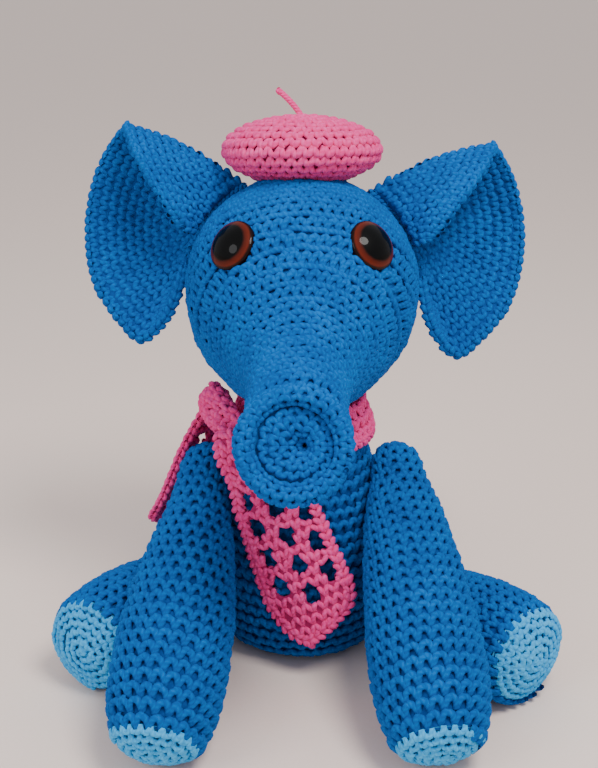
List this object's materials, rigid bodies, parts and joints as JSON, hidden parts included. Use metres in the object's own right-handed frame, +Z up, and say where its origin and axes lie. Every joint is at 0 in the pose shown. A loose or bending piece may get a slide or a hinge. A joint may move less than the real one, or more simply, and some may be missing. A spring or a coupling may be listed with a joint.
{
  "type": "stuffed crocheted elephant",
  "caption": "Crocheted stuffed elephant sitting upright, with sewn arms, legs and ears that swing, plastic eyes, a beret and a lace scarf.",
  "frame": {"origin": "centre of the flat seat, on the surface that the toy sits on", "axes": "+Z up, the face looks towards -Y, +X to the right as seen from the front"},
  "size_m": [0.2115, 0.1693, 0.2381],
  "materials": {
    "blue_yarn": "matt acrylic yarn",
    "sole_yarn": "matt acrylic yarn",
    "pink_yarn": "matt acrylic yarn",
    "stuffing": "loose polyester fibre",
    "eye_iris": "polished",
    "eye_black": "polished",
    "washer_plastic": "moulded"
  },
  "bodies": {
    "torso": {"torso_skin": "blue_yarn", "torso_stuffing": "stuffing", "neck_seam": "blue_yarn", "scarf_band": "pink_yarn", "scarf_knot": "pink_yarn", "scarf_tail_front": "pink_yarn", "scarf_tail_back": "pink_yarn", "shoulder_seam_left": "blue_yarn", "shoulder_seam_right": "blue_yarn", "hip_seam_left": "blue_yarn", "hip_seam_right": "blue_yarn"},
    "head": {"head_skin": "blue_yarn", "head_stuffing": "stuffing", "eye_left_iris": "eye_iris", "eye_left_pupil": "eye_black", "eye_left_washer": "washer_plastic", "eye_right_iris": "eye_iris", "eye_right_pupil": "eye_black", "eye_right_washer": "washer_plastic", "beret_skin": "pink_yarn", "beret_stuffing": "stuffing", "beret_stalk": "pink_yarn"},
    "ear_left": {"ear_left": "blue_yarn"},
    "ear_right": {"ear_right": "blue_yarn"},
    "arm_left": {"arm_left_skin": "blue_yarn", "arm_left_sole": "sole_yarn", "arm_left_stuffing": "stuffing"},
    "arm_right": {"arm_right_skin": "blue_yarn", "arm_right_sole": "sole_yarn", "arm_right_stuffing": "stuffing"},
    "leg_left": {"leg_left_skin": "blue_yarn", "leg_left_sole": "sole_yarn", "leg_left_stuffing": "stuffing"},
    "leg_right": {"leg_right_skin": "blue_yarn", "leg_right_sole": "sole_yarn", "leg_right_stuffing": "stuffing"}
  },
  "joints": [
    {"name": "neck_turn", "type": "hinge", "parent": "torso", "child": "head", "pos_m": [0, 0, 0.1115], "axis": [0, 0, 1], "range_deg": [-10, 10], "stiffness_Nm_per_rad": 0.3},
    {"name": "ear_left_flap", "type": "hinge", "parent": "head", "child": "ear_left", "pos_m": [-0.03541, 0.00783, 0.18843], "axis": [0.6679, 0.2629, 0.6963], "range_deg": [-8, 20], "stiffness_Nm_per_rad": 0.1},
    {"name": "ear_right_flap", "type": "hinge", "parent": "head", "child": "ear_right", "pos_m": [0.03855, 0.00676, 0.1847], "axis": [0.5867, -0.2811, -0.7595], "range_deg": [-8, 20], "stiffness_Nm_per_rad": 0.1},
    {"name": "shoulder_left_lift", "type": "hinge", "parent": "torso", "child": "arm_left", "pos_m": [-0.04036, -0.01234, 0.083], "axis": [-1, 0, 0], "range_deg": [0, 25]},
    {"name": "shoulder_right_lift", "type": "hinge", "parent": "torso", "child": "arm_right", "pos_m": [0.04036, -0.01234, 0.083], "axis": [-1, 0, 0], "range_deg": [0, 40]},
    {"name": "hip_left_spread", "type": "hinge", "parent": "torso", "child": "leg_left", "pos_m": [-0.05596, -0.00391, 0.0225], "axis": [0, 0, -1], "range_deg": [0, 25]},
    {"name": "hip_right_spread", "type": "hinge", "parent": "torso", "child": "leg_right", "pos_m": [0.05393, -0.01546, 0.0225], "axis": [0, 0, 1], "range_deg": [0, 25]}
  ]
}
